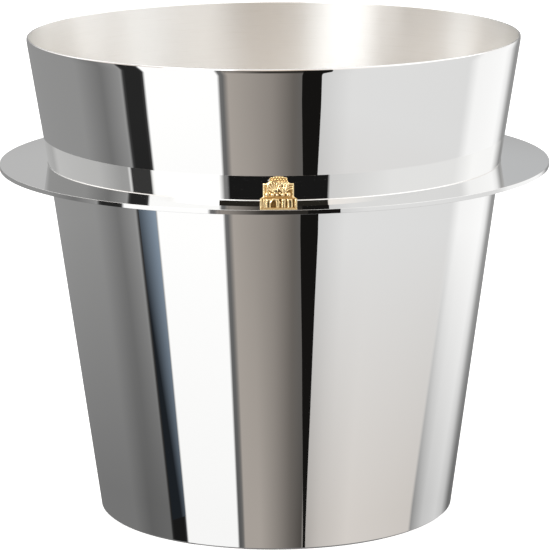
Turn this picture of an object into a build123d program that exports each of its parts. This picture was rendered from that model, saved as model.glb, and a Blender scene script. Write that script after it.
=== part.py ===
"""Silver-plated champagne bucket with a flat lifting collar and a small gilt ornament.

The bucket stands on the XY plane with its axis on Z and its ornament facing -Y.
Every piece is turned about Z, apart from the ornament and its screws.
Lengths are millimetres.
"""

from build123d import *

import math
import os

# Overall sizes
HEIGHT = 225.0
RIM_DIAMETER = 230.0
BASE_DIAMETER = 166.8

# Wall: two cones that meet at the underside of the collar
SEAT_DIAMETER = 211.0
WALL_THICKNESS = 1.0

# Collar: the flat ring that the bucket is lifted by
COLLAR_WIDTH = 23.0
COLLAR_UNDERSIDE = 164.0
COLLAR_THICKNESS = 2.0
COLLAR_EDGE_RADIUS = 0.1

# Base: a pressed plate under the wall, with a flat foot round a shallow dome
BASE_THICKNESS = 1.2
BASE_CORNER_RADIUS = 0.9
FOOT_WIDTH = 6.5
FOOT_STEP = 1.4
DOME_RISE = 2.2

# Soldered joints: each is a bead with two equal legs in the corner that it fills
COLLAR_BEAD = 0.55
BASE_BEAD = 1.9

# Ornament: one casting, a relief on a plinth, beside the outer edge of the collar
ORNAMENT_SETBACK = 0.7
PLINTH_WIDTH = 16.0
PLINTH_DEPTH = 7.0
PLINTH_HEIGHT = 5.8
PLINTH_SHOULDER = 0.9
PILASTER_COUNT = 5
PILASTER_RADIUS = 0.9
PILASTER_RELIEF = 0.35
PANEL_WIDTH = 13.3
PANEL_DEPTH = 5.6
PANEL_HEIGHT = 5.9
PANEL_LEDGE = 1.1
CROWN_WIDTH = 7.6
CROWN_HEIGHT = 2.8
CROWN_RISE = 0.8
NECK_SAG = 0.9
ARCH_WIDTH = 0.7
ARCH_RELIEF = 0.5
BEAD_COUNT = 5
BEAD_RADIUS = 0.75

# Countersunk screws that hold the ornament from under the collar
SCREW_RADIUS = 1.25
SCREW_LENGTH = 5.5
SCREW_HEAD_RADIUS = 2.35
SCREW_SPACING = 8.6
SCREW_GAP = 0.05
SCREW_TIP_ROOM = 0.6
SLOT_WIDTH = 0.6
SLOT_DEPTH = 0.5

RIM_RADIUS = RIM_DIAMETER / 2
BASE_RADIUS = BASE_DIAMETER / 2
SEAT_RADIUS = SEAT_DIAMETER / 2
COLLAR_RADIUS = SEAT_RADIUS + COLLAR_WIDTH
COLLAR_TOP = COLLAR_UNDERSIDE + COLLAR_THICKNESS
LOWER_SLOPE = (SEAT_RADIUS - BASE_RADIUS) / COLLAR_UNDERSIDE
UPPER_SLOPE = (RIM_RADIUS - SEAT_RADIUS) / (HEIGHT - COLLAR_UNDERSIDE)
PLINTH_TOP = COLLAR_TOP + PLINTH_HEIGHT
PANEL_TOP = PLINTH_TOP + PANEL_HEIGHT
PLINTH_FRONT = ORNAMENT_SETBACK - COLLAR_RADIUS
ORNAMENT_Y = PLINTH_FRONT + PLINTH_DEPTH / 2
PANEL_FRONT = ORNAMENT_Y - PANEL_DEPTH / 2
SCREW_PLACES = (-SCREW_SPACING / 2, SCREW_SPACING / 2)


def wall_radius(z):
    """Outside radius of the wall at height z."""
    if z <= COLLAR_UNDERSIDE:
        return BASE_RADIUS + LOWER_SLOPE * z
    return SEAT_RADIUS + UPPER_SLOPE * (z - COLLAR_UNDERSIDE)


def section(*lines):
    """Face in the XZ plane inside a closed chain of lines drawn as (x, z)."""
    edges = [edge for line in lines for edge in line.edges()]
    return make_face(Plane.XZ * Wire(edges))


def turned(face):
    """Solid that a section sweeps about Z."""
    return revolve(face, axis=Axis.Z)


def bead(corner, side_a, side_b, leg):
    """Ring of solder that fills a corner between two directions, with legs of one length."""
    end_a = Vector(*corner) + Vector(*side_a).normalized() * leg
    end_b = Vector(*corner) + Vector(*side_b).normalized() * leg
    return turned(section(Polyline(corner, end_a, end_b, corner)))


def dome_line(edge_radius, edge_z):
    """Arc of the base's dome, from its edge up to the axis."""
    ball = (edge_radius**2 + DOME_RISE**2) / (2 * DOME_RISE)
    half_way = edge_radius / 2
    drop = ball - math.sqrt(ball**2 - half_way**2)
    crest = edge_z + DOME_RISE
    return ThreePointArc((edge_radius, edge_z), (half_way, crest - drop), (0, crest))


def body_wall():
    """Conical wall, open at both ends, with a fully rounded lip."""
    lip = WALL_THICKNESS / 2
    foot = (wall_radius(BASE_THICKNESS), BASE_THICKNESS)
    seat = (SEAT_RADIUS, COLLAR_UNDERSIDE)
    top = (wall_radius(HEIGHT - lip), HEIGHT - lip)
    top_in, seat_in, foot_in = [(r - WALL_THICKNESS, z) for r, z in (top, seat, foot)]
    return turned(
        section(
            Polyline(foot, seat, top),
            ThreePointArc(top, (top[0] - lip, HEIGHT), top_in),
            Polyline(top_in, seat_in, foot_in, foot),
        )
    )


def base_plate():
    """Pressed plate: rounded outer corner, flat foot, short step and a shallow dome."""
    side = (wall_radius(BASE_THICKNESS), BASE_THICKNESS)
    corner_top = (wall_radius(BASE_CORNER_RADIUS), BASE_CORNER_RADIUS)
    foot_out = wall_radius(0) - BASE_CORNER_RADIUS
    foot_in = foot_out - FOOT_WIDTH
    dome_radius = foot_in - FOOT_STEP
    under = dome_line(dome_radius, FOOT_STEP)
    over = dome_line(dome_radius, FOOT_STEP + BASE_THICKNESS)
    return turned(
        section(
            Line(side, corner_top),
            TangentArc((foot_out, 0), corner_top, tangent=(-1, 0), tangent_from_first=False),
            Polyline((foot_out, 0), (foot_in, 0), under @ 0),
            under,
            Line(under @ 1, over @ 1),
            over,
            Polyline(over @ 0, (foot_in, BASE_THICKNESS), side),
        )
    )


def base_solder():
    """Solder inside the bucket, in the corner between the wall and the base plate."""
    corner = (wall_radius(BASE_THICKNESS) - WALL_THICKNESS, BASE_THICKNESS)
    return bead(corner, (-1, 0), (LOWER_SLOPE, 1), BASE_BEAD)


def collar():
    """Flat ring whose bore follows the wall, with two countersunk holes."""
    bore_low = (wall_radius(COLLAR_UNDERSIDE), COLLAR_UNDERSIDE)
    bore_high = (wall_radius(COLLAR_TOP), COLLAR_TOP)
    edge_low = (COLLAR_RADIUS, COLLAR_UNDERSIDE)
    edge_high = (COLLAR_RADIUS, COLLAR_TOP)
    ring = turned(section(Polyline(bore_low, edge_low, edge_high, bore_high, bore_low)))
    outer_edges = ring.edges().filter_by(GeomType.CIRCLE).group_by(SortBy.RADIUS)[-1]
    ring = fillet(outer_edges, min(COLLAR_EDGE_RADIUS, 0.45 * COLLAR_THICKNESS))
    for x in SCREW_PLACES:
        ring -= screw(x, SCREW_GAP, SCREW_TIP_ROOM)
    return ring


def collar_solder_top():
    """Solder in the corner between the wall and the collar's top."""
    corner = (wall_radius(COLLAR_TOP), COLLAR_TOP)
    return bead(corner, (1, 0), (UPPER_SLOPE, 1), COLLAR_BEAD)


def collar_solder_under():
    """Solder in the corner between the wall and the collar's underside."""
    corner = (wall_radius(COLLAR_UNDERSIDE), COLLAR_UNDERSIDE)
    return bead(corner, (1, 0), (-LOWER_SLOPE, -1), COLLAR_BEAD)


def screw(x, gap=0, tip_room=0):
    """Countersunk screw at x, or with a gap and room at its tip the hole for it."""
    shank = SCREW_RADIUS + gap
    head = SCREW_HEAD_RADIUS + gap
    tip = COLLAR_UNDERSIDE + SCREW_LENGTH + tip_room
    outline = Polyline(
        (0, COLLAR_UNDERSIDE),
        (head, COLLAR_UNDERSIDE),
        (shank, COLLAR_UNDERSIDE + head - shank),
        (shank, tip),
        (0, tip),
        (0, COLLAR_UNDERSIDE),
    )
    return Pos(x, ORNAMENT_Y, 0) * turned(section(outline))


def ornament_screws():
    """Two slotted countersunk screws."""
    slot = Box(2 * SCREW_HEAD_RADIUS, SLOT_WIDTH, 2 * SLOT_DEPTH)
    screws = [screw(x) - Pos(x, ORNAMENT_Y, COLLAR_UNDERSIDE) * slot for x in SCREW_PLACES]
    return Compound(children=screws)


def upright(outline, front, depth):
    """Plate with an outline in (x, z), from y = front inwards by depth."""
    return Pos(0, front, 0) * extrude(section(*outline), -depth)


def row(count, width, radius):
    """Places along X of a number of round things that fill a width."""
    pitch = (width - 2 * radius) / (count - 1)
    return [radius - width / 2 + i * pitch for i in range(count)]


def plinth():
    """Lower tier of the ornament: sloped shoulders over a row of half-round pilasters."""
    half = PLINTH_WIDTH / 2
    panel_half = PANEL_WIDTH / 2
    shoulder_z = PLINTH_TOP - PLINTH_SHOULDER
    outline = Polyline(
        (-half, COLLAR_TOP),
        (half, COLLAR_TOP),
        (half, shoulder_z),
        (panel_half, PLINTH_TOP),
        (-panel_half, PLINTH_TOP),
        (-half, shoulder_z),
        (-half, COLLAR_TOP),
    )
    block = upright([outline], PLINTH_FRONT + PILASTER_RELIEF, PLINTH_DEPTH - PILASTER_RELIEF)
    column = extrude(Circle(PILASTER_RADIUS), shoulder_z - COLLAR_TOP)
    for x in row(PILASTER_COUNT, PLINTH_WIDTH, PILASTER_RADIUS):
        block += Pos(x, PLINTH_FRONT + PILASTER_RADIUS, COLLAR_TOP) * column
    return block


def panel():
    """Upper tiers of the ornament: a panel with a raised arch, under a beaded crown."""
    half = PANEL_WIDTH / 2
    ledge = half - PANEL_LEDGE
    crown_half = CROWN_WIDTH / 2
    crown_z = PANEL_TOP + CROWN_HEIGHT
    neck = ((ledge + crown_half) / 2 - NECK_SAG / 2, (PANEL_TOP + crown_z) / 2 - NECK_SAG / 2)
    sides = Polyline(
        (-ledge, PANEL_TOP),
        (-half, PANEL_TOP),
        (-half, PLINTH_TOP),
        (half, PLINTH_TOP),
        (half, PANEL_TOP),
        (ledge, PANEL_TOP),
    )
    right_neck = ThreePointArc((ledge, PANEL_TOP), neck, (crown_half, crown_z))
    crown_line = ThreePointArc(
        (crown_half, crown_z), (0, crown_z + CROWN_RISE), (-crown_half, crown_z)
    )
    left_neck = ThreePointArc(
        (-crown_half, crown_z), (-neck[0], neck[1]), (-ledge, PANEL_TOP)
    )
    outline = [sides, right_neck, crown_line, left_neck]
    ground = PANEL_FRONT + ARCH_RELIEF
    plate = upright(outline, ground, PANEL_DEPTH - ARCH_RELIEF)
    for x in row(BEAD_COUNT, CROWN_WIDTH, BEAD_RADIUS):
        plate += Pos(x, ground, crown_z - BEAD_RADIUS) * Sphere(BEAD_RADIUS)
    return plate + arch()


def arch():
    """Half-round raised band on the front of the panel."""
    outer = PANEL_HEIGHT - ARCH_WIDTH / 2
    inner = outer - ARCH_WIDTH
    z = PLINTH_TOP
    band = [
        Line((inner, z), (outer, z)),
        ThreePointArc((outer, z), (0, z + outer), (-outer, z)),
        Line((-outer, z), (-inner, z)),
        ThreePointArc((-inner, z), (0, z + inner), (inner, z)),
    ]
    return upright(band, PANEL_FRONT, 2 * ARCH_RELIEF)


def ornament():
    """Cast ornament, with two blind holes for its screws."""
    casting = plinth() + panel()
    for x in SCREW_PLACES:
        casting -= screw(x, SCREW_GAP, SCREW_TIP_ROOM)
    return casting


PIECES = (
    body_wall,
    base_plate,
    base_solder,
    collar,
    collar_solder_top,
    collar_solder_under,
    ornament,
    ornament_screws,
)

os.makedirs("parts", exist_ok=True)
for piece in PIECES:
    export_step(piece(), f"parts/{piece.__name__}.step")
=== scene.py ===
import math

import bmesh
import bpy
import numpy as np
from mathutils import Matrix, Vector


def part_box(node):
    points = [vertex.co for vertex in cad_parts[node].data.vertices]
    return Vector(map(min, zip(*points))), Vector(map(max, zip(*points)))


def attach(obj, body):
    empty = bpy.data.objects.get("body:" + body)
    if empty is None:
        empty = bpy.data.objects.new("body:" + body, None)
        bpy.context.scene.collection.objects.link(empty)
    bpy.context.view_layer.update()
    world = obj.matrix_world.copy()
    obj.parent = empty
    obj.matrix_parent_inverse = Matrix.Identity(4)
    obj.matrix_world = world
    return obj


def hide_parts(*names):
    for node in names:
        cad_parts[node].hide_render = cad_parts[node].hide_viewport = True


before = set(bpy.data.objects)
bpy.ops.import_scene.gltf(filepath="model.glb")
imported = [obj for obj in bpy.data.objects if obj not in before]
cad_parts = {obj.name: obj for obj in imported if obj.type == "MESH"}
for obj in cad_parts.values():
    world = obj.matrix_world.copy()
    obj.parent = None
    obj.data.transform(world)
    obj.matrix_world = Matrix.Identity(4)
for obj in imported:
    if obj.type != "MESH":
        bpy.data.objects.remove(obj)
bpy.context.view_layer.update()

MM = 0.001
TURNS = 384  # facets round the axis of a turned piece
SAME_LEVEL = 0.02 * MM  # corners this near a height count as lying at it
SAME_POINT = 0.0001 * MM  # outline points this near each other are one
HOLD = 0.4 * MM  # loops this near a bend keep the long faces' shading straight
LIP_HEIGHT = 3.0 * MM  # the wall's outside rounds over within this of the rim
LIP_RADIUS = 0.25 * MM  # rounding of the rim's inner edge
SHARP = math.radians(40)  # turned pieces keep an edge where they bend by more than this
TOP_SOLDER_SHARE = 0.5  # the solder above the collar is drawn this much of its CAD size


# ---------------------------------------------------------------- sizes, from the frame


def corners_at(node, z):
    """A CAD node's corners at height z."""
    corners = [v.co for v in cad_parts[node].data.vertices]
    return [c for c in corners if abs(c.z - z) < SAME_LEVEL]


def radius_span(node, z):
    """Smallest and largest distance from the axis of a CAD node's corners at height z."""
    level = [c.xy.length for c in corners_at(node, z)]
    return min(level), max(level)


COLLAR_LOW, COLLAR_HIGH = (corner.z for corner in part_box("collar"))
SEAT_RADIUS = radius_span("collar", COLLAR_LOW)[0]
SEAT_TOP_RADIUS = radius_span("collar", COLLAR_HIGH)[0]
WALL_LOW, RIM_HEIGHT = (corner.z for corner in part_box("body_wall"))
WALL_LOW_IN, WALL_LOW_OUT = radius_span("body_wall", WALL_LOW)
WALL_THICKNESS = WALL_LOW_OUT - WALL_LOW_IN
UPPER_SLOPE = (SEAT_TOP_RADIUS - SEAT_RADIUS) / (COLLAR_HIGH - COLLAR_LOW)
LOWER_SLOPE = (SEAT_RADIUS - WALL_LOW_OUT) / (COLLAR_LOW - WALL_LOW)


def wall_radius(z):
    """Outside radius of the wall at height z."""
    slope = LOWER_SLOPE if z < COLLAR_LOW else UPPER_SLOPE
    return SEAT_RADIUS + slope * (z - COLLAR_LOW)


# ---------------------------------------------------------------- node helpers


class Graph:
    """Adds nodes to a material's or a world's node tree."""

    def __init__(self, owner):
        owner.use_nodes = True
        self.tree = owner.node_tree
        self.tree.nodes.clear()

    def node(self, kind, inputs=None, **settings):
        made = self.tree.nodes.new("ShaderNode" + kind)
        for key, value in settings.items():
            setattr(made, key, value)
        for key, value in (inputs or {}).items():
            self.feed(made.inputs[key], value)
        return made

    def feed(self, socket, value):
        if isinstance(value, bpy.types.NodeSocket):
            self.tree.links.new(value, socket)
        else:
            socket.default_value = value

    def math(self, operation, *values):
        made = self.node("Math", operation=operation)
        for socket, value in zip(made.inputs, values):
            self.feed(socket, value)
        return made.outputs[0]

    def spread(self, value, low, high, to_low=0.0, to_high=1.0):
        """value, moved from the span low to high onto the span to_low to to_high, smoothly."""
        made = self.node("MapRange", interpolation_type="SMOOTHSTEP")
        for name, number in zip(
            ("Value", "From Min", "From Max", "To Min", "To Max"),
            (value, low, high, to_low, to_high),
        ):
            self.feed(made.inputs[name], number)
        return made.outputs["Result"]

    def noise(self, vector, scale, detail=2.0, roughness=0.5):
        made = self.node(
            "TexNoise",
            {"Vector": vector, "Scale": scale, "Detail": detail, "Roughness": roughness},
        )
        return made.outputs["Fac"]

    def ramp(self, value, stops):
        """Colour at value; stops are (place from 0 to 1, colour)."""
        made = self.node("ValToRGB", {"Fac": value})
        elements = made.color_ramp.elements
        while len(elements) < len(stops):
            elements.new(1.0)
        for element, (place, colour) in zip(elements, stops):
            element.position = place
            element.color = (*colour, 1.0)
        return made.outputs["Color"]

    def mix(self, factor, a, b):
        """Colour between a, where factor is 0, and b, where it is 1."""
        made = self.node("Mix", data_type="RGBA")
        self.feed(made.inputs["Factor"], factor)
        colour_a, colour_b = (s for s in made.inputs if s.type == "RGBA")
        self.feed(colour_a, a)
        self.feed(colour_b, b)
        return next(s for s in made.outputs if s.type == "RGBA")

    def choose(self, factor, a, b):
        """Number between a, where factor is 0, and b, where it is 1."""
        return self.math("MULTIPLY_ADD", factor, self.math("SUBTRACT", b, a), a)

    def azimuth(self, parts):
        """Angle of a direction or a place round the axis, from -Y towards +X."""
        return self.math("ARCTAN2", parts["X"], self.math("MULTIPLY", parts["Y"], -1.0))


# ---------------------------------------------------------------- materials


QUARTER_TURN = 0.25  # the highlight runs across the brushed lines


def metal(name, colour, roughness, bump_height, bump_distance, anisotropy=0.0):
    """Principled metal; colour, roughness and bump height are made by functions of a graph."""
    material = bpy.data.materials.new(name)
    graph = Graph(material)
    place = graph.node("TexCoord").outputs["Object"]
    shader = graph.node("BsdfPrincipled", {"Metallic": 1.0})
    graph.feed(shader.inputs["Base Color"], colour(graph, place))
    graph.feed(shader.inputs["Roughness"], roughness(graph, place))
    bump = graph.node("Bump", {"Height": bump_height(graph, place), "Distance": bump_distance})
    graph.feed(shader.inputs["Normal"], bump.outputs["Normal"])
    if anisotropy:
        shader.inputs["Anisotropic"].default_value = anisotropy
        shader.inputs["Anisotropic Rotation"].default_value = QUARTER_TURN
        tangent = graph.node("Tangent", direction_type="RADIAL", axis="Z")
        graph.feed(shader.inputs["Tangent"], tangent.outputs["Tangent"])
    output = graph.node("OutputMaterial")
    graph.feed(output.inputs["Surface"], shader.outputs["BSDF"])
    return material


def around(graph, place, along_turn, along_height):
    """Coordinates on a turned surface: angle round the axis, and height, scaled apart."""
    parts = graph.node("SeparateXYZ", {"Vector": place}).outputs
    angle = graph.math("ARCTAN2", parts["Y"], parts["X"])
    squares = [graph.math("MULTIPLY", parts[axis], parts[axis]) for axis in "XY"]
    reach = graph.math("SQRT", graph.math("ADD", *squares))
    slant = graph.math("ADD", parts["Z"], reach)
    joined = graph.node(
        "CombineXYZ",
        {
            "X": graph.math("MULTIPLY", graph.math("SINE", angle), along_turn),
            "Y": graph.math("MULTIPLY", graph.math("COSINE", angle), along_turn),
            "Z": graph.math("MULTIPLY", slant, along_height),
        },
    )
    return joined.outputs["Vector"]


def polish_colour(graph, place):
    cloud = graph.noise(place, 9.0, 3.0)
    return graph.mix(cloud, (0.945, 0.945, 0.94, 1), (0.965, 0.962, 0.952, 1))


def polish_roughness(graph, place):
    """Faint smears, and hairlines left by the buffing wheel."""
    smear = graph.spread(graph.noise(place, 22.0, 4.0), 0.45, 0.75, 0.01, 0.02)
    lines = graph.noise(around(graph, place, 3.0, 2600.0), 1.0, 3.0)
    return graph.math("ADD", smear, graph.spread(lines, 0.6, 0.8, 0.0, 0.015))


def satin_grain(graph, place):
    """Fine lines brushed round the axis."""
    return graph.noise(around(graph, place, 4.0, 3000.0), 1.0, 4.0, 0.7)


def satin_colour(graph, place):
    patches = graph.noise(place, 30.0, 2.0)
    warm = graph.mix(patches, (0.955, 0.94, 0.908, 1), (0.965, 0.955, 0.935, 1))
    bright = graph.spread(satin_grain(graph, place), 0.25, 0.5)
    return graph.mix(bright, (0.90, 0.885, 0.852, 1), warm)


def satin_roughness(graph, place):
    return graph.spread(satin_grain(graph, place), 0.3, 0.7, 0.28, 0.38)


def satin_height(graph, place):
    return graph.noise(around(graph, place, 6.0, 4000.0), 1.0, 3.0, 0.6)


def polished_silver():
    """Mirror polish."""

    def height(graph, place):
        return graph.noise(place, 14.0, 1.0)

    return metal("polished_silver", polish_colour, polish_roughness, height, bump_distance=0.00001)


def satin_silver():
    """Satin finish, brushed round the axis."""
    looks = (satin_colour, satin_roughness, satin_height)
    return metal("satin_silver", *looks, bump_distance=0.00003, anisotropy=0.95)


def base_silver():
    """The base plate: satin where it faces up into the bucket, mirror polish underneath."""

    def inside(graph):
        """1 where the surface faces up, else 0."""
        normal = graph.node("NewGeometry").outputs["Normal"]
        rise = graph.node("SeparateXYZ", {"Vector": normal}).outputs["Z"]
        return graph.math("GREATER_THAN", rise, 0.05)

    def colour(graph, place):
        return graph.mix(inside(graph), polish_colour(graph, place), satin_colour(graph, place))

    def roughness(graph, place):
        polished, satin = polish_roughness(graph, place), satin_roughness(graph, place)
        return graph.choose(inside(graph), polished, satin)

    def height(graph, place):
        return graph.math("MULTIPLY", inside(graph), satin_height(graph, place))

    looks = (colour, roughness, height)
    return metal("base_silver", *looks, bump_distance=0.00003, anisotropy=0.8)


def solder_silver():
    """Dressed solder: bright, with a slight ripple along the joint."""

    def colour(graph, place):
        cloud = graph.noise(place, 120.0)
        return graph.mix(cloud, (0.9, 0.895, 0.88, 1), (0.96, 0.955, 0.945, 1))

    def roughness(graph, place):
        return graph.spread(graph.noise(place, 260.0, 3.0), 0.3, 0.7, 0.07, 0.16)

    def height(graph, place):
        return graph.noise(place, 180.0, 2.0)

    return metal("solder_silver", colour, roughness, height, bump_distance=0.00005)


def gilt():
    """Gold plate on a casting, rougher in the recesses, with painted shade darkening them."""

    # Mask of the recesses: where shade is painted on, and where the roughness rises
    def recess_shade(graph):
        return graph.node("Attribute", attribute_name="recess_shade").outputs["Fac"]

    def colour(graph, place):
        tone = graph.noise(place, 700.0, 3.0)
        bright = graph.mix(tone, (1.0, 0.73, 0.35, 1), (1.0, 0.81, 0.48, 1))
        # Painted shade: the gold darkens to brown in the recesses
        return graph.mix(recess_shade(graph), bright, (0.42, 0.22, 0.06, 1))

    def roughness(graph, place):
        grain = graph.spread(graph.noise(place, 900.0, 3.0), 0.3, 0.7, 0.16, 0.26)
        return graph.math("MULTIPLY_ADD", recess_shade(graph), 0.12, grain)

    def height(graph, place):
        return graph.noise(place, 1400.0, 4.0)

    return metal("gilt", colour, roughness, height, bump_distance=0.00006)


def turned_brass():
    """Bright nickelled brass of the screws, with fine turning marks."""

    def colour(graph, place):
        return graph.mix(graph.noise(place, 500.0), (0.78, 0.74, 0.64, 1), (0.88, 0.84, 0.74, 1))

    def roughness(graph, place):
        return graph.spread(graph.noise(place, 1500.0, 3.0), 0.3, 0.7, 0.18, 0.32)

    def height(graph, place):
        return graph.noise(place, 2500.0, 3.0)

    return metal("turned_brass", colour, roughness, height, bump_distance=0.00005)


POLISHED = polished_silver()
SATIN = satin_silver()
BASE = base_silver()
SOLDER = solder_silver()
GILT = gilt()
BRASS = turned_brass()


# ---------------------------------------------------------------- turned pieces


def arc(centre, radius, start, end, steps):
    """Points (r, z) of an arc, angles in degrees from the outward direction towards +Z."""
    angles = np.radians(np.linspace(start, end, steps + 1))
    return [(centre[0] + radius * math.cos(a), centre[1] + radius * math.sin(a)) for a in angles]


def bend(start, control, end, steps):
    """Points of a quadratic curve."""
    start, control, end = (np.array(point) for point in (start, control, end))
    places = np.linspace(0, 1, steps + 1)[:, None]
    return (1 - places) ** 2 * start + 2 * places * (1 - places) * control + places**2 * end


def finished(name, mesh, materials, replaced):
    """Object for a mesh that stands for a CAD node."""
    mesh.shade_smooth()
    for material in materials:
        mesh.materials.append(material)
    piece = bpy.data.objects.new(name, mesh)
    bpy.context.scene.collection.objects.link(piece)
    weighted = piece.modifiers.new("Weighted normals", "WEIGHTED_NORMAL")
    weighted.weight = 100
    weighted.keep_sharp = True
    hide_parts(replaced)
    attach(piece, "root")
    return piece


def turned(name, runs, materials, replaced):
    """Piece that a closed outline sweeps round the axis.

    runs is a list of (points, material index), anticlockwise in (r, z), joined end to end.
    """
    outline, finish = [], []
    for points, index in runs:
        for point in points:
            if not outline or math.dist(point, outline[-1]) > SAME_POINT:
                outline.append(point)
                finish.append(index)
    if math.dist(outline[0], outline[-1]) < SAME_POINT:
        outline.pop()
        finish.pop()
    rings = len(outline)
    angles = np.arange(TURNS) * 2 * math.pi / TURNS
    vertices = [(r * math.cos(a), r * math.sin(a), z) for a in angles for r, z in outline]
    faces, indices = [], []
    for turn in range(TURNS):
        here, there = turn * rings, (turn + 1) % TURNS * rings
        for ring in range(rings):
            after = (ring + 1) % rings
            faces.append((here + ring, there + ring, there + after, here + after))
            indices.append(finish[after])
    mesh = bpy.data.meshes.new(name)
    mesh.from_pydata(vertices, [], faces)
    mesh.polygons.foreach_set("material_index", indices)
    piece = finished(name, mesh, materials, replaced)
    mesh.set_sharp_from_angle(angle=SHARP)
    return piece


def make_wall():
    """Wall: mirror outside, with its top rounded over into a thin lip, and satin inside."""
    shoulder = RIM_HEIGHT - LIP_HEIGHT
    heights = [WALL_LOW, COLLAR_LOW - HOLD, COLLAR_LOW, COLLAR_LOW + HOLD]
    outside = [(wall_radius(z), z) for z in (*heights, shoulder - HOLD, shoulder)]
    crest = RIM_HEIGHT - LIP_RADIUS
    inside = [(wall_radius(z) - WALL_THICKNESS, z) for z in (crest, *reversed(heights))]
    round_centre = (inside[0][0] + LIP_RADIUS, crest)
    roll_end = (round_centre[0], RIM_HEIGHT)
    roll = bend(outside[-1], (wall_radius(RIM_HEIGHT), RIM_HEIGHT), roll_end, steps=32)
    lip = arc(round_centre, LIP_RADIUS, 90, 180, steps=6)
    return turned(
        "body_wall_shell",
        [(outside, 0), (roll, 0), (lip, 0), (inside, 1), (outside[:1], 0)],
        (POLISHED, SATIN),
        "body_wall",
    )


def make_solder(node, corner, side_a, side_b, share=1.0):
    """Ring of solder with a hollow face, tangent to the two faces that it joins.

    side_a and side_b are the faces' directions, as (r, z), away from the corner; share is how
    much of the CAD bead's size the ring takes.
    """
    low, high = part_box(node)
    slant = math.hypot(*side_b)
    leg = share * (high.z - low.z) * slant / abs(side_b[1])
    corner, side_a, side_b = np.array(corner), np.array(side_a), np.array(side_b) / slant
    half_angle = math.acos(side_a @ side_b) / 2
    towards_centre = (side_a + side_b) / np.linalg.norm(side_a + side_b)
    centre = corner + towards_centre * leg / math.cos(half_angle)
    start, end = corner + side_a * leg - centre, corner + side_b * leg - centre
    first = math.degrees(math.atan2(start[1], start[0]))
    sweep = math.degrees(math.atan2(start[0] * end[1] - start[1] * end[0], start @ end))
    face = arc(centre, leg * math.tan(half_angle), first, first + sweep, steps=12)
    if side_a[0] * side_b[1] < 0:
        face.reverse()
    runs = [([tuple(corner)], 0), (face, 0)]
    return turned(node + "_ring", runs, (SOLDER,), node)


# ---------------------------------------------------------------- ornament

# The motifs are generic ones: a vine leaf, a tendril and grapes, over a row of folds. Their places
# and sizes follow the light and dark parts of the photo's ornament, rounded.
# All in millimetres, (across, up): across from the middle, up from the collar's top. A height
# is how far something stands out of the relief's ground.

# Outline, from the foot up
PLINTH_SHOULDER = 4.9
PLINTH_TOP = 5.8
PANEL_FOOT = 6.0
PANEL_TOP = 11.7
LEDGE = 1.1  # width of the panel's flat top beside the neck
NECK_SAG = 0.9
CROWN_FOOT = 14.5
GRAPES_ON_TOP = 6
LOBE_DEPTH = 0.35  # notches between the grapes on top
CROWN_STEPS = 72
TALLNESS = 0.96  # how tall the piece is drawn, against the sizes above

# Depth
RELIEF_STEP = 0.1  # spacing of the relief's grid
RELIEF = 0.6  # the ground lies this far behind the CAD solid's front
EDGE_RADIUS = 0.3
PANEL_STEP = 0.7  # the panel's ground lies this far behind the plinth's
PANEL_SWELL = 1.8  # how far the panel curves back towards its sides
CROWN_STEP = 0.2  # the crown stands out this far from the panel
BACK_STEP = 0.7  # how much further forward the back lies above the plinth
BACK_SLOPE = 1.3  # the tops fall this far towards the back
BACK_SLOPE_FOOT = 4.0  # below this the slope dies out

# Borders and the groove along the foot
BORDER = 0.6
BORDER_EDGE = 0.15  # width of a border's flank
BORDER_FADE = 0.4  # the side borders end this far above the panel
SIDE_BORDER_HEIGHT = 0.45
FOOT_BORDER = 0.5
FOOT_BORDER_HEIGHT = 0.5
FOOT_EDGE = 0.1
GROOVE_DEPTH = 0.3

# Folds of the plinth: (middle, half-width)
FOLDS = (
    (-7.5, 0.5),
    (-6.0, 0.5),
    (-4.4, 1.05),
    (-0.4, 0.6),
    (2.15, 0.75),
    (4.9, 1.1),
    (7.5, 0.5),
)
FOLD_FOOT = 0.95
FOLD_HEAD = 4.5
FOLD_FOOT_EDGE = 0.15
FOLD_HEAD_EDGE = 0.6
FOLD_HEIGHT = 0.5
FOLD_SWAY = 0.08
FOLD_SWAY_TURN = 1.3  # radians of sway per millimetre up

# Bosses in a row over the plinth: (middle, radius), with smaller ones between them
BOSSES = ((-5.0, 0.85), (-2.6, 0.75), (-0.6, 0.6), (1.9, 0.75), (4.4, 0.85))
BOSS_UP = 6.7
BOSS_HEIGHT = 0.75
SMALL_BOSS_UP = 0.75  # above the others
SMALL_BOSS_RADIUS = 0.4
SMALL_BOSS_HEIGHT = 0.5

# Rounded cords: start, bend and end of the curve, half-width at the start and the end, height
CORDS = (
    ((-4.7, 7.9), (-5.1, 12.5), (-2.3, 12.9), 0.4, 0.5, 0.7),
    ((-2.3, 12.9), (-0.5, 12.9), (0.9, 10.9), 0.5, 0.35, 0.7),
    ((-0.7, 7.9), (-2.5, 8.0), (-3.9, 9.2), 0.3, 0.3, 0.45),
    ((-0.7, 7.9), (-2.8, 8.8), (-3.8, 10.7), 0.3, 0.3, 0.45),
    ((-0.7, 7.9), (-2.4, 9.3), (-3.0, 11.9), 0.3, 0.3, 0.45),
    ((-0.7, 7.9), (-1.8, 9.6), (-1.8, 12.2), 0.3, 0.3, 0.45),
    ((-0.7, 7.9), (-1.1, 9.6), (-0.7, 11.7), 0.3, 0.3, 0.45),
    ((-0.7, 7.9), (-0.4, 9.4), (0.2, 10.8), 0.3, 0.25, 0.45),
    ((2.1, 7.9), (1.9, 9.2), (2.6, 10.5), 0.42, 0.3, 0.5),
    ((3.1, 7.9), (3.0, 9.2), (3.6, 10.6), 0.36, 0.28, 0.4),
    ((3.7, 9.4), (4.6, 10.4), (5.8, 10.2), 0.2, 0.2, 0.3),
    ((3.7, 8.4), (4.6, 9.4), (5.8, 9.1), 0.2, 0.2, 0.3),
    ((-3.4, 3.3), (-2.2, 6.4), (0.5, 3.2), 0.3, 0.3, 0.5),
)
CORD_STEPS = 40

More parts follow.
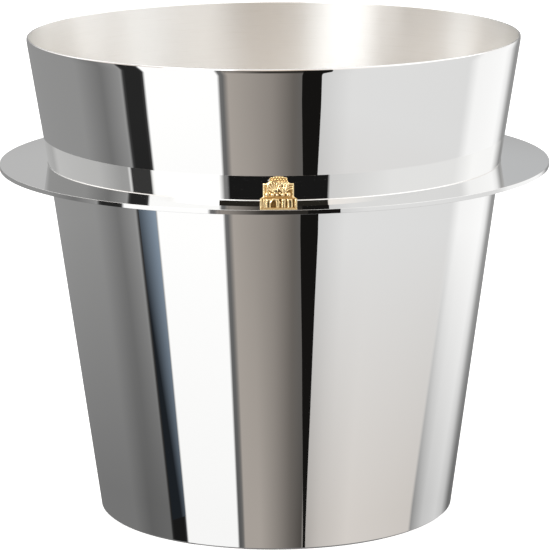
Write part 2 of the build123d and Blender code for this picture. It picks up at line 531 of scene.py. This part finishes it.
# Tendril, a spiral
TENDRIL_CENTRE = (1.05, 9.3)
TENDRIL_TURN = (-1.2, 6.8)  # radians
TENDRIL_REACH = (1.0, 0.2)
TENDRIL_HALF_WIDTH = (0.26, 0.2)
TENDRIL_HEIGHT = 0.5
TENDRIL_STEPS = 70

# Rows of grapes: up, first and last across, number
GRAPE_RADIUS = 0.64
GRAPE_HEIGHT = 0.75
GRAPE_ROWS = (
    (14.5, -3.2, 3.2, 6),
    (13.6, -3.8, 3.8, 7),
    (12.7, 0.5, 4.3, 4),
    (11.8, 1.7, 4.6, 3),
    (11.0, 2.6, 3.9, 2),
)

# Painted shade on the gilt: in every hollow; between the grapes, less deep ones too; along the row
# of bosses. Pairs of heights run from no painted shade to all of it.
HOLLOW_HEIGHTS = (0.28, -0.05)
GRAPE_GAP_UP = (12.3, 12.8)
GRAPE_GAP_HEIGHTS = (0.7, 0.4)
GRAPE_GAP_LEAST = 0.5
BOSS_ROW_UP = 0.1  # above the bosses' middles
BOSS_ROW_WIDTH = 0.55
BOSS_ROW_HEIGHTS = (0.5, 0.2)
BRIGHT_EDGE = (0.05, 0.3)  # distances from the edge over which the painted shade comes in


def ornament_outline():
    """Closed outline, anticlockwise as seen from the front; widths are the CAD node's."""

    def half_width(up):
        return max(c.x for c in corners_at("ornament", COLLAR_HIGH + up * MM)) / MM

    half, panel_half, crown_half = (half_width(up) for up in (0, PANEL_TOP, CROWN_FOOT))
    ledge = panel_half - LEDGE
    crown_rise = (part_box("ornament")[1].z - COLLAR_HIGH) / MM - CROWN_FOOT
    across = np.linspace(1, -1, CROWN_STEPS + 1)
    lobes = np.abs(np.sin(across * math.pi * GRAPES_ON_TOP / 2))
    top = CROWN_FOOT + crown_rise * (1 - across**2) - LOBE_DEPTH * (1 - lobes)
    control = ((ledge + crown_half) / 2 - NECK_SAG, (PANEL_TOP + top[0]) / 2 - NECK_SAG)
    neck = bend((ledge, PANEL_TOP), control, (crown_half, top[0]), steps=12)
    right = [
        (half, 0),
        (half, PLINTH_SHOULDER),
        (panel_half, PLINTH_TOP),
        (panel_half, PANEL_TOP),
        *neck[:-1],
    ]
    left = [(-x, z) for x, z in reversed(right)]
    return np.array([*right, *zip(crown_half * across, top), *left])


def ornament_grid(outline):
    """Plane mesh that fills an outline with a square grid: corners (across, up) and faces."""
    grid = bmesh.new()
    grid.faces.new([grid.verts.new((x, 0, z)) for x, z in outline])
    for axis in (0, 2):
        values = outline[:, axis // 2]
        step = Vector((0, 0, 0))
        for place in np.arange(values.min() + RELIEF_STEP, values.max(), RELIEF_STEP):
            step[axis] = place
            normal = Vector((axis == 0, 0, axis == 2))
            everything = [*grid.verts, *grid.edges, *grid.faces]
            bmesh.ops.bisect_plane(
                grid, geom=everything, dist=RELIEF_STEP / 10, plane_co=step, plane_no=normal
            )
    grid.verts.index_update()
    corners = np.array([(v.co.x, v.co.z) for v in grid.verts])
    faces = [[v.index for v in face.verts] for face in grid.faces]
    grid.free()
    return corners, faces


def edge_distance(points, outline):
    """Distance from each point to a closed outline."""
    nearest = np.full(len(points), np.inf)
    for start, end in zip(outline, np.roll(outline, -1, axis=0)):
        along = end - start
        place = np.clip((points - start) @ along / (along @ along), 0, 1)
        gap = np.linalg.norm(points - start - place[:, None] * along, axis=1)
        nearest = np.minimum(nearest, gap)
    return nearest


def domes(points, centres, reaches, height):
    """Height at each point of a set of round bumps that share their height."""
    raised = np.zeros(len(points))
    for centre, radius in zip(centres, reaches):
        gap = ((points - centre) ** 2).sum(axis=1) / radius**2
        raised = np.maximum(raised, height * np.sqrt(np.clip(1 - gap, 0, 1)))
    return raised


def smooth_step(values, low, high):
    """Smooth rise from 0 at low to 1 at high, or a fall where high is the smaller."""
    place = np.clip((values - low) / (high - low), 0, 1)
    return place * place * (3 - 2 * place)


def relief_height(points):
    """How far the ornament's front stands out of its ground, at each point."""
    x, up = points.T
    raised = np.zeros(len(points))
    window = smooth_step(up, FOLD_FOOT, FOLD_FOOT + FOLD_FOOT_EDGE)
    window *= smooth_step(up, FOLD_HEAD + FOLD_HEAD_EDGE, FOLD_HEAD)
    for middle, half in FOLDS:
        sway = FOLD_SWAY * np.sin(up * FOLD_SWAY_TURN + middle)
        profile = np.sqrt(np.clip(1 - ((x - middle - sway) / half) ** 2, 0, 1))
        raised = np.maximum(raised, FOLD_HEIGHT * profile * window)

    bumps = []
    for up_at, first, last, count in GRAPE_ROWS:
        centres = [(at, up_at) for at in np.linspace(first, last, count)]
        bumps.append((centres, [GRAPE_RADIUS] * count, GRAPE_HEIGHT))
    centres = [(at, BOSS_UP) for at, radius in BOSSES]
    bumps.append((centres, [radius for at, radius in BOSSES], BOSS_HEIGHT))
    small = [((a[0] + b[0]) / 2, BOSS_UP + SMALL_BOSS_UP) for a, b in zip(BOSSES, BOSSES[1:])]
    bumps.append((small, [SMALL_BOSS_RADIUS] * len(small), SMALL_BOSS_HEIGHT))
    for start, control, end, first, last, height in CORDS:
        path = bend(start, control, end, CORD_STEPS)
        bumps.append((path, np.linspace(first, last, len(path)), height))
    turn = np.linspace(*TENDRIL_TURN, TENDRIL_STEPS)
    reach = np.linspace(*TENDRIL_REACH, TENDRIL_STEPS)
    spiral = TENDRIL_CENTRE + reach[:, None] * np.stack([np.cos(turn), np.sin(turn)], axis=1)
    bumps.append((spiral, np.linspace(*TENDRIL_HALF_WIDTH, TENDRIL_STEPS), TENDRIL_HEIGHT))
    for centres, reaches, height in bumps:
        raised = np.maximum(raised, domes(points, centres, reaches, height))
    return raised


def ornament_front(x, up, edge):
    """The front's height above its ground, and how far its parts lie behind the CAD front."""
    on_panel = smooth_step(up, PLINTH_SHOULDER, PANEL_FOOT)
    side_border = smooth_step(edge, BORDER + BORDER_EDGE, BORDER) * on_panel
    side_border *= smooth_step(up, PANEL_TOP + BORDER_FADE, PANEL_TOP)
    foot_border = smooth_step(up, FOOT_BORDER + FOOT_EDGE, FOOT_BORDER)
    groove = smooth_step(up, FOOT_BORDER, FOOT_BORDER + FOOT_EDGE)
    groove *= smooth_step(up, FOLD_FOOT, FOLD_FOOT - FOOT_EDGE)
    borders = np.maximum(SIDE_BORDER_HEIGHT * side_border, FOOT_BORDER_HEIGHT * foot_border)
    raised = np.maximum(relief_height(np.stack([x, up], axis=1)), borders) - GROOVE_DEPTH * groove
    ground = RELIEF + on_panel * (PANEL_STEP + PANEL_SWELL * (x / x.max()) ** 2)
    ground -= CROWN_STEP * smooth_step(up, PANEL_TOP, CROWN_FOOT)
    return raised, ground


def recess_shade_of_front(up, raised, edge):
    """How much painted shade each point of the front takes, from 0 to 1."""
    hollow = smooth_step(raised, *HOLLOW_HEIGHTS)
    gaps = GRAPE_GAP_LEAST + (1 - GRAPE_GAP_LEAST) * smooth_step(raised, *GRAPE_GAP_HEIGHTS)
    gaps *= smooth_step(up, *GRAPE_GAP_UP)
    row = np.exp(-(((up - BOSS_UP - BOSS_ROW_UP) / BOSS_ROW_WIDTH) ** 2))
    row *= smooth_step(raised, *BOSS_ROW_HEIGHTS)
    return np.maximum(np.maximum(hollow, gaps), row) * smooth_step(edge, *BRIGHT_EDGE)


def make_ornament():
    """Closed casting: a relief in front, plain sides and a plain back with rounded edges."""
    low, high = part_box("ornament")
    outline = ornament_outline()
    points, faces = ornament_grid(outline)
    x, up = points.T
    edge = edge_distance(points, outline)
    from_edge = np.clip(EDGE_RADIUS - edge, 0, EDGE_RADIUS)
    rounding = EDGE_RADIUS - np.sqrt(EDGE_RADIUS**2 - from_edge**2)
    raised, ground = ornament_front(x, up, edge)
    front = ground - raised + rounding
    depth = (high.y - low.y) / MM
    back = depth - BACK_STEP * smooth_step(up, PLINTH_SHOULDER, PANEL_FOOT) - rounding
    back_up = up - BACK_SLOPE * smooth_step(up, 0, BACK_SLOPE_FOOT)
    count = len(points)
    vertices = np.concatenate(
        [
            np.stack([x * MM, low.y + y * MM, COLLAR_HIGH + z * TALLNESS * MM], axis=1)
            for y, z in ((front, up), (back, back_up))
        ]
    )
    sides = {}
    for face in faces:
        for a, b in zip(face, face[1:] + face[:1]):
            if sides.pop((b, a), None) is None:
                sides[a, b] = (b, a, a + count, b + count)
    backs = [[i + count for i in reversed(face)] for face in faces]
    mesh = bpy.data.meshes.new("ornament_relief")
    mesh.from_pydata(vertices.tolist(), [], faces + backs + list(sides.values()))
    # Painted shade of the recesses, on the front only; the back takes none
    recess_shade = mesh.attributes.new("recess_shade", "FLOAT", "POINT")
    in_front = recess_shade_of_front(up, raised, edge)
    recess_shade.data.foreach_set("value", np.concatenate([in_front, np.zeros(count)]))
    return finished("ornament_relief", mesh, (GILT,), "ornament")


make_wall()
make_solder(
    "collar_solder_top",
    (SEAT_TOP_RADIUS, COLLAR_HIGH),
    (1, 0),
    (UPPER_SLOPE, 1),
    TOP_SOLDER_SHARE,
)
make_solder("collar_solder_under", (SEAT_RADIUS, COLLAR_LOW), (1, 0), (-LOWER_SLOPE, -1))
make_solder("base_solder", (WALL_LOW_IN, WALL_LOW), (-1, 0), (LOWER_SLOPE, 1))
ornament_relief = make_ornament()

for node, material in (("base_plate", BASE), ("collar", POLISHED), ("ornament_screws", BRASS)):
    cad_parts[node].data.materials.clear()
    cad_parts[node].data.materials.append(material)

# The photo shows no mirror image of the ornament in the wall, so neither has one here
for piece in (ornament_relief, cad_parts["ornament_screws"]):
    piece.visible_glossy = False


# ---------------------------------------------------------------- studio

# The mirror finish shows a photographer's studio, which is painted by direction. An azimuth runs
# from -Y towards +X, and a rise is the sine of an elevation. Angles are in degrees. The rings were
# read off the photo's reflections with scratch scripts, then thinned out and rounded by hand.

# What one level of directions shows, all round: (azimuth, brightness, warmth or nothing).
# FAR: low directions, as the upper wall and the top of the lower wall show them.
# NEAR: the steepest ones, as the foot of the wall shows them.
# MID: directions above the horizon, which light the inside.
# COLLAR: what the wall shows by way of the collar.
FAR_RING = (
    (-180, 0.3), (-109, 0.28), (-91, 0.17), (-80, 0.27), (-77.8, 0.33), (-77.3, 0.02),
    (-66.1, 0.02), (-65.8, 1.05), (-27.6, 1.05), (-27.2, 0.17), (-24.5, 0.12), (-23.3, 0.4, 1),
    (-2, 0.27, 1), (9, 0.13, 1), (17.5, 0.13), (18.5, 0.6), (37, 0.76), (105, 0.74),
    (113, 0.95), (140, 1.0), (147, 0.85), (151, 0.6), (157, 0.3),
)
NEAR_RING = (
    (-180, 0.18), (-112, 0.18), (-96, 0.12), (-77.8, 0.14), (-77.3, 0.01), (-66.1, 0.01),
    (-65.8, 0.97), (-27.6, 0.97), (-27.2, 0.1), (-24, 0.11), (-23.3, 0.4, 1), (-12, 0.4, 1),
    (8.5, 0.15, 1), (17.5, 0.07, 1), (18.5, 0.42, 0.6), (30, 0.56, 0.6), (51, 0.68, 0.6),
    (106.5, 0.62, 0.6), (107.5, 0.28), (112, 0.39), (121, 0.57), (139, 0.66), (151, 0.55),
    (158, 0.33), (165, 0.16),
)
MID_RING = (
    (-168, 0.5), (-150, 1.0), (-122, 1.3, 0.4), (-109, 1.5), (-102, 1.5), (-96, 1.1, 0.5),
    (-85, 0.9, 0.8), (-54, 0.75, 0.8), (-49.5, 1.9), (-21.5, 1.9), (-17, 0.95, 1),
    (0, 0.9, 1.6), (14, 0.7, 1.8), (22, 1.0, 0.7), (50, 1.05, 0.4), (58, 1.2), (72, 1.2),
    (86, 1.1, 0.3), (94, 1.45), (110, 1.75), (117, 0.95, 0.3), (155, 0.8, 0.5), (168, 0.5),
)
COLLAR_RING = (
    (-180, 0.5), (-151, 0.42), (-143, 0.55), (-102, 0.5), (-86, 0.35), (-81.3, 0.35),
    (-80.8, 0.75), (-79.3, 0.75), (-78.8, 0.04), (-66.6, 0.04), (-66, 1.15), (-28.3, 1.15),
    (-27.9, 0.25), (-25.2, 0.2), (-24.6, 0.01), (27, 0.01), (27.8, 0.66), (45, 0.75),
    (62, 0.83), (104, 0.83), (120, 1.02), (145, 1.0), (152, 0.64), (160, 0.28), (172.5, 0.34),
    (174.5, 0.5, -0.15),
)
WARM_GREEN = 0.09  # share of the green, and below of the blue, that a warmth of 1 takes away
WARM_BLUE = 0.17

# In the mirror a level line bows. The bow is a rise: this much in front, nothing at the back.
BOW = 0.265
NEAR_DROPS = (0.185, 0.265)  # rises this far below minus the bow, from FAR to NEAR
MID_RISES = (0.136, 0.196)  # from those two to MID, lower in front by a share of the bow
MID_BOW = 0.25
COLLAR_FOOT = (0.15, 0.165)  # rises this far above the bow, where the band of COLLAR starts
COLLAR_HEAD = (0.255, 0.24)  # and where it ends

# How much further round the near ring's azimuths are read
CROWDING_LEFT = 0.025
CROWDING_RIGHT = 0.065

# Black gap between the screens, a little right of the middle
GAP_LEFT = 12.7
GAP_LEFT_TURN = 4.3  # from the far ring to the near one
GAP_RIGHT = (22.2, 26)  # at the two elevations below
GAP_ELEVATIONS = (-22, -14)
GAP_RIGHT_TURN = -3.4
GAP_COLOUR = (0.0075, 0.007, 0.0065, 1)

# Shade over the upper part of the warm screen, left of that gap
SHADE_LEFT = -23.5
SHADE_ELEVATIONS = (-20, -12)
SHADE_AZIMUTHS = (-22, -2)
SHADE_STRENGTHS = (0.35, 0.95)  # at those azimuths
SHADE_COLOUR = (0.02, 0.018, 0.016, 1)

# Dark slot over the horizon, in front
SLOT_AZIMUTHS = (-28, 25.5)
SLOT_FOOT = (1, 5)
SLOT_HEAD = (9.5, 8.5)
SLOT_COLOUR = (0.02, 0.018, 0.015, 1)

# Overhead and underfoot
CEILING_ELEVATIONS = (40, 55)
CEILING = (1.5, 1.5, 1.5, 1)
ZENITH_ELEVATIONS = (62, 72)
ZENITH = (0.68, 0.68, 0.67, 1)
NADIR_ELEVATIONS = (-55, -40)
NADIR = (0.2, 0.2, 0.2, 1)


def studio_world():
    """Screens and dark flags all round the bucket, as its mirror finish shows them."""
    world = bpy.data.worlds.new("studio")
    bpy.context.scene.world = world
    graph = Graph(world)
    direction = graph.node("TexCoord").outputs["Generated"]
    parts = graph.node("SeparateXYZ", {"Vector": direction}).outputs
    rise = parts["Z"]
    azimuth = graph.azimuth(parts)
    bow = graph.math("MULTIPLY", graph.math("COSINE", graph.math("MULTIPLY", azimuth, 0.5)), BOW)
    drop = graph.math("MULTIPLY", graph.math("ADD", rise, bow), -1.0)
    lift = graph.math("SUBTRACT", rise, bow)
    near = graph.node(
        "MapRange", {"Value": drop, "From Min": NEAR_DROPS[0], "From Max": NEAR_DROPS[1]}
    ).outputs["Result"]
    on_right = graph.math("GREATER_THAN", azimuth, 0.0)
    crowding = graph.math("MULTIPLY", near, graph.choose(on_right, CROWDING_LEFT, CROWDING_RIGHT))
    turned_in = graph.math("MULTIPLY_ADD", azimuth, crowding, azimuth)

    def ring(angle, stops):
        """Colour of a ring of directions at an azimuth."""
        place = graph.math("MULTIPLY_ADD", angle, 0.5 / math.pi, 0.5)
        colours = []
        for degrees, level, *warmth in stops:
            warm = warmth[0] if warmth else 0.0
            colour = (level, level * (1 - WARM_GREEN * warm), level * (1 - WARM_BLUE * warm))
            colours.append((degrees / 360 + 0.5, colour))
        return graph.ramp(place, colours)

    def both(first, second):
        return graph.math("MULTIPLY", first, second)

    def between(left, right):
        """1 where the azimuth lies between left and right, else 0."""
        return both(
            graph.math("GREATER_THAN", azimuth, left), graph.math("LESS_THAN", azimuth, right)
        )

    def over(elevations, *ends):
        """Smooth step over the rise, from one elevation to another."""
        return graph.spread(rise, *(math.sin(math.radians(e)) for e in elevations), *ends)

    def turning(edge, by):
        """Edge of something, as an azimuth, that turns by so much from the far to the near ring."""
        return graph.math("MULTIPLY_ADD", near, math.radians(by), edge)

    low = graph.mix(near, ring(turned_in, FAR_RING), ring(turned_in, NEAR_RING))
    gap_left = turning(math.radians(GAP_LEFT), GAP_LEFT_TURN)
    gap_right = turning(over(GAP_ELEVATIONS, *np.radians(GAP_RIGHT)), GAP_RIGHT_TURN)
    strength = graph.spread(azimuth, *np.radians(SHADE_AZIMUTHS), *SHADE_STRENGTHS)
    shade = both(over(SHADE_ELEVATIONS), strength)
    shade = both(between(math.radians(SHADE_LEFT), gap_left), shade)
    low = graph.mix(shade, low, SHADE_COLOUR)
    low = graph.mix(between(gap_left, gap_right), low, GAP_COLOUR)

    above = graph.math("MULTIPLY_ADD", bow, MID_BOW, rise)
    colour = graph.mix(graph.spread(above, *MID_RISES), low, ring(azimuth, MID_RING))
    slot = both(both(over(SLOT_FOOT), over(SLOT_HEAD)), between(*np.radians(SLOT_AZIMUTHS)))
    colour = graph.mix(slot, colour, SLOT_COLOUR)
    collar_band = both(graph.spread(lift, *COLLAR_FOOT), graph.spread(lift, *COLLAR_HEAD))
    colour = graph.mix(collar_band, colour, ring(azimuth, COLLAR_RING))
    colour = graph.mix(over(CEILING_ELEVATIONS), colour, CEILING)
    colour = graph.mix(over(ZENITH_ELEVATIONS), colour, ZENITH)
    colour = graph.mix(over(NADIR_ELEVATIONS), NADIR, colour)
    seen = graph.node("LightPath").outputs["Is Camera Ray"]
    colour = graph.mix(seen, colour, (1, 1, 1, 1))
    background = graph.node("Background", {"Color": colour})
    output = graph.node("OutputWorld")
    graph.feed(output.inputs["Surface"], background.outputs["Background"])


def glowing(name, colour):
    """Material that only glows; colour is made by a function of a graph."""
    material = bpy.data.materials.new(name)
    graph = Graph(material)
    glow = graph.node("Emission", {"Color": colour(graph)})
    output = graph.node("OutputMaterial")
    graph.feed(output.inputs["Surface"], glow.outputs["Emission"])
    return material


CARD_REACH = 0.4  # from the axis
CARD_HEIGHTS = (-0.17, 0.03)
CARD_AZIMUTHS = (-66.8, -57.2)
CARD_STEPS = 16
CARD_LEVEL = 1.66  # brightness at azimuth 0 and height 0
CARD_LEVEL_TURN = 1.375  # more of it per radian
CARD_LEVEL_UP = 1.2  # more of it per metre up
CARD_LEVEL_LIMITS = (0.015, 0.4)
CARD_COLOUR = (0.8, 1.0, 1.25, 1)


def make_blue_card():
    """Upright curved card, low at the left, that only the mirror finish shows."""
    azimuths = np.linspace(*np.radians(CARD_AZIMUTHS), CARD_STEPS + 1)
    vertices = [
        (CARD_REACH * math.sin(a), -CARD_REACH * math.cos(a), z)
        for a in azimuths
        for z in CARD_HEIGHTS
    ]
    faces = [(2 * i, 2 * i + 2, 2 * i + 3, 2 * i + 1) for i in range(CARD_STEPS)]
    mesh = bpy.data.meshes.new("blue_card")
    mesh.from_pydata(vertices, [], faces)

    def colour(graph):
        place = graph.node("TexCoord").outputs["Object"]
        parts = graph.node("SeparateXYZ", {"Vector": place}).outputs
        level = graph.math("MULTIPLY_ADD", graph.azimuth(parts), CARD_LEVEL_TURN, CARD_LEVEL)
        level = graph.math("MULTIPLY_ADD", parts["Z"], CARD_LEVEL_UP, level)
        level = graph.math("MAXIMUM", level, CARD_LEVEL_LIMITS[0])
        level = graph.math("MINIMUM", level, CARD_LEVEL_LIMITS[1])
        return graph.mix(level, (0, 0, 0, 1), CARD_COLOUR)

    mesh.materials.append(glowing("blue_card", colour))
    card = bpy.data.objects.new("blue_card", mesh)
    bpy.context.scene.collection.objects.link(card)
    card.visible_camera = False
    card.visible_diffuse = False
    card.visible_shadow = False


LIGHT_SIZE = 0.5
LIGHT_WATTS = 14.0
LIGHT_COLOUR = (1.0, 0.97, 0.9)
LIGHT_SPOT = Vector((-0.8, -0.65, 0.42))
LIGHT_TARGET = Vector((0, -0.122, 0.172))


def make_ornament_light(ornament):
    """Small soft light from the upper left that falls on the ornament alone."""
    data = bpy.data.lights.new("ornament_light", "AREA")
    data.size = LIGHT_SIZE
    data.energy = LIGHT_WATTS
    data.color = LIGHT_COLOUR
    light = bpy.data.objects.new("ornament_light", data)
    bpy.context.scene.collection.objects.link(light)
    facing = (LIGHT_TARGET - LIGHT_SPOT).to_track_quat("-Z", "Y").to_matrix().to_4x4()
    light.matrix_world = Matrix.Translation(LIGHT_SPOT) @ facing
    receivers = bpy.data.collections.new("ornament_light_receivers")
    receivers.objects.link(ornament)
    light.light_linking.receiver_collection = receivers


FLOOR_REACH = 6.0  # from the axis to each side
FLOOR_COLOUR = (0.8, 0.8, 0.8, 1)
FLOOR_ROUGHNESS = 0.9
FLOOR_GLOW = 0.7  # evens out the shadow, as a lit studio floor does


def make_floor():
    """Plain pale floor; the silver doesn't show it, and from below it can be seen through."""
    mesh = bpy.data.meshes.new("floor")
    signs = ((-1, -1), (1, -1), (1, 1), (-1, 1))
    corners = [(FLOOR_REACH * x, FLOOR_REACH * y, 0) for x, y in signs]
    mesh.from_pydata(corners, [], [(0, 1, 2, 3)])
    material = bpy.data.materials.new("pale_floor")
    graph = Graph(material)
    shader = graph.node("BsdfPrincipled", {"Base Color": FLOOR_COLOUR})
    shader.inputs["Roughness"].default_value = FLOOR_ROUGHNESS
    shader.inputs["Emission Color"].default_value = (1, 1, 1, 1)
    shader.inputs["Emission Strength"].default_value = FLOOR_GLOW
    from_below = graph.node("NewGeometry").outputs["Backfacing"]
    cut = graph.node("MixShader", {"Fac": from_below})
    graph.feed(cut.inputs[1], shader.outputs["BSDF"])
    graph.feed(cut.inputs[2], graph.node("BsdfTransparent").outputs["BSDF"])
    output = graph.node("OutputMaterial")
    graph.feed(output.inputs["Surface"], cut.outputs["Shader"])
    mesh.materials.append(material)
    floor = bpy.data.objects.new("floor", mesh)
    bpy.context.scene.collection.objects.link(floor)
    floor.visible_glossy = False


# ---------------------------------------------------------------- camera

# The pinhole camera fitted to the photo's rim, collar and base outlines
CAMERA_DISTANCE = 1.4845  # from the axis, level
CAMERA_HEIGHT = 0.4287
CAMERA_DOWN = math.radians(12.117)
CAMERA_SIDE = math.radians(0.77)  # round the axis, towards -X
CAMERA_ROLL = math.radians(-0.341)
CAMERA_LENS = 210.3
CAMERA_SENSOR = 36.0


def make_camera():
    data = bpy.data.cameras.new("camera")
    data.lens = CAMERA_LENS
    data.sensor_width = CAMERA_SENSOR
    camera = bpy.data.objects.new("camera", data)
    bpy.context.scene.collection.objects.link(camera)
    camera.matrix_world = (
        Matrix.Rotation(-CAMERA_SIDE, 4, "Z")
        @ Matrix.Translation((0, -CAMERA_DISTANCE, CAMERA_HEIGHT))
        @ Matrix.Rotation(math.pi / 2 - CAMERA_DOWN, 4, "X")
        @ Matrix.Rotation(CAMERA_ROLL, 4, "Z")
    )
    bpy.context.scene.camera = camera


studio_world()
make_blue_card()
make_ornament_light(ornament_relief)
make_floor()
make_camera()
bpy.context.scene.view_settings.view_transform = "Standard"
